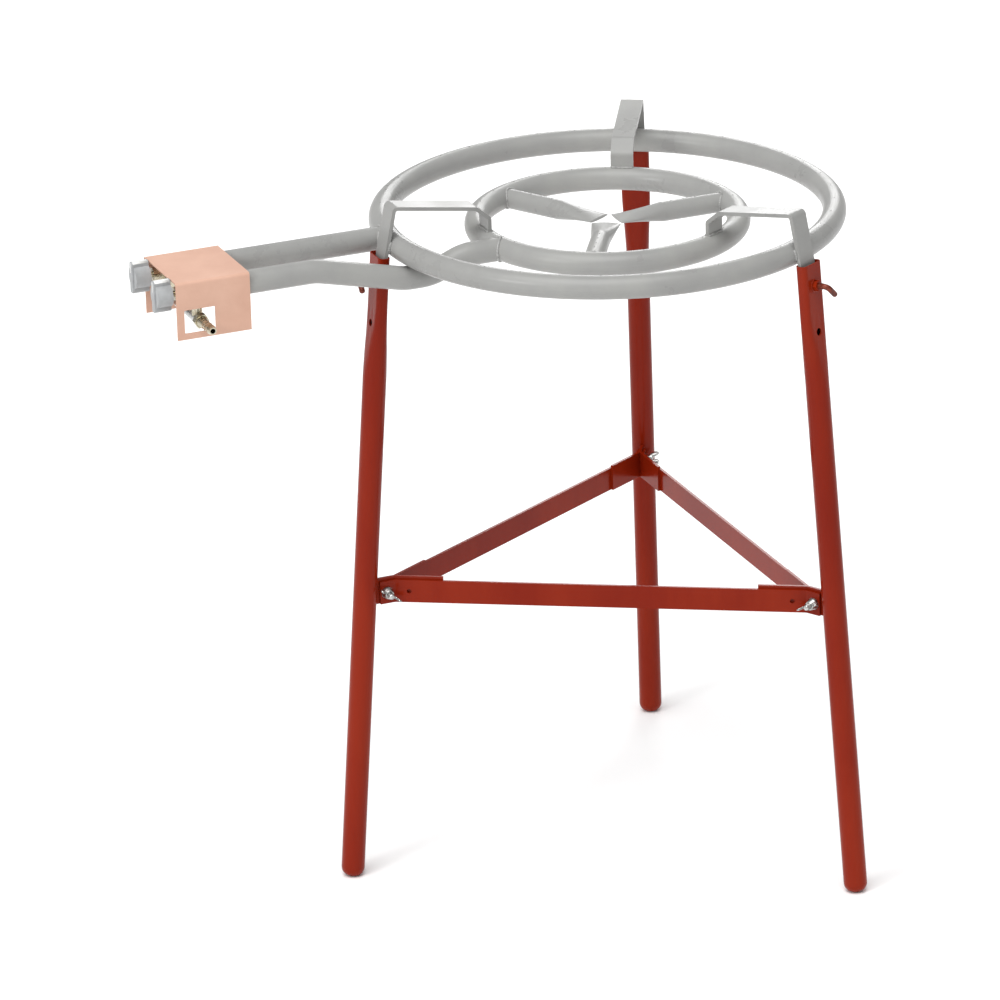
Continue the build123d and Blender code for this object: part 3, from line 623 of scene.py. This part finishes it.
def knob_highlight_cap_and_line(place):
    """White cap over the top end of a knob's grip, a painted highlight, and a line down its face."""
    low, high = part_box(f"knob_{place}")
    centre_y, centre_z = (low.y + high.y) / 2, (low.z + high.z) / 2
    arc_z = high.z - GRIP_CORNER
    profile = []
    for sign in (1, -1):
        for step in range(CAP_STEPS + 1):
            turn = step if sign > 0 else CAP_STEPS - step
            angle = radians(CAP_EDGE + (90 - CAP_EDGE) * turn / CAP_STEPS)
            angle = angle if sign > 0 else pi - angle
            profile.append((sign * (GRIP_HALF - GRIP_CORNER), angle))
    outer, inner = [], []
    for shift, angle in profile:
        for ring, reach in ((outer, GRIP_CORNER + HIGHLIGHT_CAP_T), (inner, GRIP_CORNER - MARK_SUNK)):
            ring.append((centre_y + shift + reach * cos(angle), arc_z + reach * sin(angle)))
    section = outer + inner[::-1]
    front, rear = low.x + MARK_MARGIN, high.x - MARK_MARGIN
    points = [Vector((x, y, z)) for x in (front, rear) for y, z in section]
    size = len(section)
    faces = [(c, (c + 1) % size, size + (c + 1) % size, size + c) for c in range(size)]
    half = len(outer)
    for base, flip in ((0, True), (size, False)):
        for c in range(half - 1):
            quad = (base + c, base + c + 1, base + size - 2 - c, base + size - 1 - c)
            faces.append(quad if not flip else quad[::-1])
    # The cap is a painted highlight: white where the light falls on the grip's rounded top end.
    cap = add_piece(f"knob_highlight_cap_{place}", points, faces, pointer_and_highlight_white, f"tap_{place}")
    bottom, top = centre_z + MARK_LINE_LOW, high.z - MARK_MARGIN
    corners = []
    for x in (low.x - MARK_FACE, low.x + MARK_SUNK):
        for y, z in ((-1, bottom), (1, bottom), (1, top), (-1, top)):
            corners.append(Vector((x, centre_y + y * MARK_LINE_HALF, z)))
    sides = [(0, 1, 5, 4), (1, 2, 6, 5), (2, 3, 7, 6), (3, 0, 4, 7), (3, 2, 1, 0), (4, 5, 6, 7)]
    line = add_piece(f"knob_line_{place}", corners, sides, pointer_and_highlight_white, f"tap_{place}")


for place in ("outer", "inner"):
    knob_highlight_cap_and_line(place)

# ---------------------------------------------------------------- stage, lights and camera

bpy.context.scene.view_settings.view_transform = "Standard"

FLOOR_HALF = 15.0
FLOOR_DROP = 0.0004
floor_mesh = bpy.data.meshes.new("floor")
floor_mesh.from_pydata(
    [
        (-FLOOR_HALF, -FLOOR_HALF, -FLOOR_DROP),
        (FLOOR_HALF, -FLOOR_HALF, -FLOOR_DROP),
        (FLOOR_HALF, FLOOR_HALF, -FLOOR_DROP),
        (-FLOOR_HALF, FLOOR_HALF, -FLOOR_DROP),
    ],
    [],
    [(0, 1, 2, 3)],
)
floor = bpy.data.objects.new("floor", floor_mesh)
bpy.context.scene.collection.objects.link(floor)
floor.data.materials.append(
    surface("floor_pale", (tint(248, 248, 248), tint(252, 252, 252)), scale=1.5, rough=(0.8, 0.9))
)

WORLD_STRENGTH = 0.45
world = bpy.data.worlds.new("studio")
bpy.context.scene.world = world
world.use_nodes = True
world.node_tree.nodes["Background"].inputs["Color"].default_value = (1.0, 1.0, 1.0, 1.0)
world.node_tree.nodes["Background"].inputs["Strength"].default_value = WORLD_STRENGTH


def soft_light(name, position, target, size, power):
    """Square area light aimed at a point."""
    light = bpy.data.lights.new(name, "AREA")
    light.size = size
    light.energy = power
    holder = bpy.data.objects.new(name, light)
    holder.location = position
    aim = Vector(target) - Vector(position)
    holder.rotation_euler = aim.to_track_quat("-Z", "Y").to_euler()
    bpy.context.scene.collection.objects.link(holder)


MIDDLE = (0.0, 0.0, 0.45)
soft_light("key", (-3.4, -1.4, 2.4), MIDDLE, 0.9, 38.0)
soft_light("rim", (1.8, 3.0, 1.8), MIDDLE, 1.4, 30.0)

SKY_STRENGTH = 2.3
SKY_SPREAD = radians(50)
SKY_TILT = (radians(14), radians(-16), 0.0)
overhead = bpy.data.lights.new("overhead", "SUN")
overhead.energy = SKY_STRENGTH
overhead.angle = SKY_SPREAD
overhead_holder = bpy.data.objects.new("overhead", overhead)
overhead_holder.rotation_euler = SKY_TILT
bpy.context.scene.collection.objects.link(overhead_holder)

CAMERA_AT = (-2.54404, -5.98147, 2.92796)
CAMERA_RIGHT = Vector((0.923264, -0.383335, -0.025252))
CAMERA_UP = Vector((0.161776, 0.328336, 0.930604))
FOCAL_LENGTH = 236.16
SENSOR = 36.0

camera_data = bpy.data.cameras.new("photo_view")
camera_data.sensor_width = SENSOR
camera_data.lens = FOCAL_LENGTH
camera_data.clip_end = 60.0
camera = bpy.data.objects.new("photo_view", camera_data)
bpy.context.scene.collection.objects.link(camera)
back = CAMERA_RIGHT.cross(CAMERA_UP)
turn = Matrix((CAMERA_RIGHT, CAMERA_UP, back)).transposed().to_4x4()
camera.matrix_world = Matrix.Translation(CAMERA_AT) @ turn
bpy.context.scene.camera = camera
